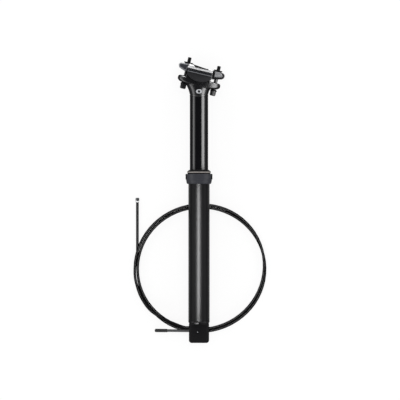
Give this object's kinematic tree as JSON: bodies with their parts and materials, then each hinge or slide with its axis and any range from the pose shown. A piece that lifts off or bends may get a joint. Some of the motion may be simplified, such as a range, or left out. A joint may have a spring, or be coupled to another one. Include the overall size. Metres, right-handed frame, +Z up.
{
  "type": "dropper seatpost",
  "caption": "Height-adjustable bicycle seatpost with a sliding stanchion, two-bolt rail clamp, foot-mounted cable actuator and a coil of black control housing.",
  "frame": {"origin": "on the post's axis at the seal collar's lower face, where the seat tube's rim stops", "axes": "+Y along the post towards the saddle, +X towards the front of the bike, +Z up from the table the post lies on"},
  "size_m": [0.1985, 0.4252, 0.0501],
  "materials": {
    "tube_black": "satin black anodised",
    "stanchion_black": "glossy black anodised",
    "head_black": "semi-gloss black anodised forging",
    "collar_grey": "satin dark grey anodised",
    "pale_ring": "warm grey plastic",
    "seal_rubber": "matt black rubber",
    "bushing_bronze": "bronze-backed bushing",
    "bright_steel": "plain bright steel",
    "bright_alloy": "machined bright alloy",
    "plain_alloy": "plain turned alloy",
    "dark_steel": "black oxide steel",
    "foot_black": "grainy matt black casting",
    "cord_black": "black plastic housing jacket",
    "cap_black": "black plastic cap"
  },
  "bodies": {
    "lower_post": {"outer_tube": "tube_black", "seal_collar": "collar_grey", "scraper_ring": "pale_ring", "wiper_seal": "seal_rubber", "upper_bushing": "bushing_bronze", "base_plug": "dark_steel", "rod_nut": "bright_steel", "piston_rod": "bright_steel", "piston": "plain_alloy", "piston_seals": "seal_rubber", "topout_bumper": "seal_rubber", "actuator_housing": "foot_black", "actuator_cover": "foot_black", "cover_screws": "bright_steel", "pivot_pin": "bright_steel", "housing_ferrule": "cap_black", "housing_lead": "cord_black", "housing_coil": "cord_black", "housing_tail": "cord_black", "tail_ferrule": "bright_alloy", "tail_band": "seal_rubber", "stub_housing": "cord_black", "stub_ferrule": "cap_black", "valve_spring": "bright_steel"},
    "upper_post": {"stanchion": "stanchion_black", "joint_ring": "plain_alloy", "head": "head_black", "lower_bushing": "bushing_bronze", "guide_keys": "bushing_bronze", "cartridge_cylinder": "plain_alloy", "cartridge_gland": "plain_alloy", "gland_seal": "seal_rubber", "cartridge_plug": "plain_alloy", "set_screw": "dark_steel", "eyelet": "bright_alloy", "front_bolt": "dark_steel", "rear_bolt": "dark_steel", "bolt_washers": "dark_steel"},
    "saddle_clamp": {"lower_cradle": "head_black", "upper_clamp": "bright_alloy"},
    "front_nut": {"front_nut": "dark_steel"},
    "rear_nut": {"rear_nut": "dark_steel"},
    "floating_piston": {"floating_piston": "plain_alloy", "floating_seal": "seal_rubber"},
    "release_lever": {"release_lever": "plain_alloy"},
    "inner_cable": {"inner_cable": "bright_steel", "cable_barrel": "bright_steel"},
    "valve": {"push_rod": "bright_steel", "valve_poppet": "bushing_bronze"}
  },
  "joints": [
    {"name": "post_drop", "type": "slide", "parent": "lower_post", "child": "upper_post", "axis": [0, 1, 0], "range_m": [-0.1, 0], "stiffness_N_per_m": 400, "springref_m": 0.2},
    {"name": "clamp_tilt", "type": "hinge", "parent": "upper_post", "child": "saddle_clamp", "pos_m": [0.00425, 0.17744, 0], "axis": [0, 0, 1], "range_deg": [-6, 6]},
    {"name": "front_nut_travel", "type": "slide", "parent": "upper_post", "child": "front_nut", "axis": [0.2317, 0.9728, 0], "range_m": [-0.0028, 0.0028]},
    {"name": "rear_nut_travel", "type": "slide", "parent": "upper_post", "child": "rear_nut", "axis": [0.2317, 0.9728, 0], "range_m": [-0.0022, 0.0022]},
    {"name": "piston_float", "type": "slide", "parent": "upper_post", "child": "floating_piston", "axis": [0, 1, 0], "range_m": [0, 0.036]},
    {"name": "cable_pull", "type": "slide", "parent": "lower_post", "child": "inner_cable", "axis": [-1, 0, 0], "range_m": [0, 0.00609], "stiffness_N_per_m": 0.05, "springref_m": -0.005},
    {"name": "lever_turn", "type": "hinge", "parent": "lower_post", "child": "release_lever", "pos_m": [-0.002, -0.2202, 0], "axis": [0, 0, 1], "range_deg": [0, 51]},
    {"name": "valve_lift", "type": "slide", "parent": "lower_post", "child": "valve", "axis": [0, 1, 0], "range_m": [0, 0.0021], "deforming": ["valve_spring"]}
  ],
  "couplings": [
    {"joint": "front_nut_travel", "follows": "clamp_tilt", "m_per_rad": 0.0257},
    {"joint": "rear_nut_travel", "follows": "clamp_tilt", "m_per_rad": -0.0197},
    {"joint": "piston_float", "follows": "post_drop", "ratio": -0.34602},
    {"joint": "lever_turn", "follows": "cable_pull", "rad_per_m": 143.4},
    {"joint": "valve_lift", "follows": "cable_pull", "ratio": 0.33333}
  ]
}
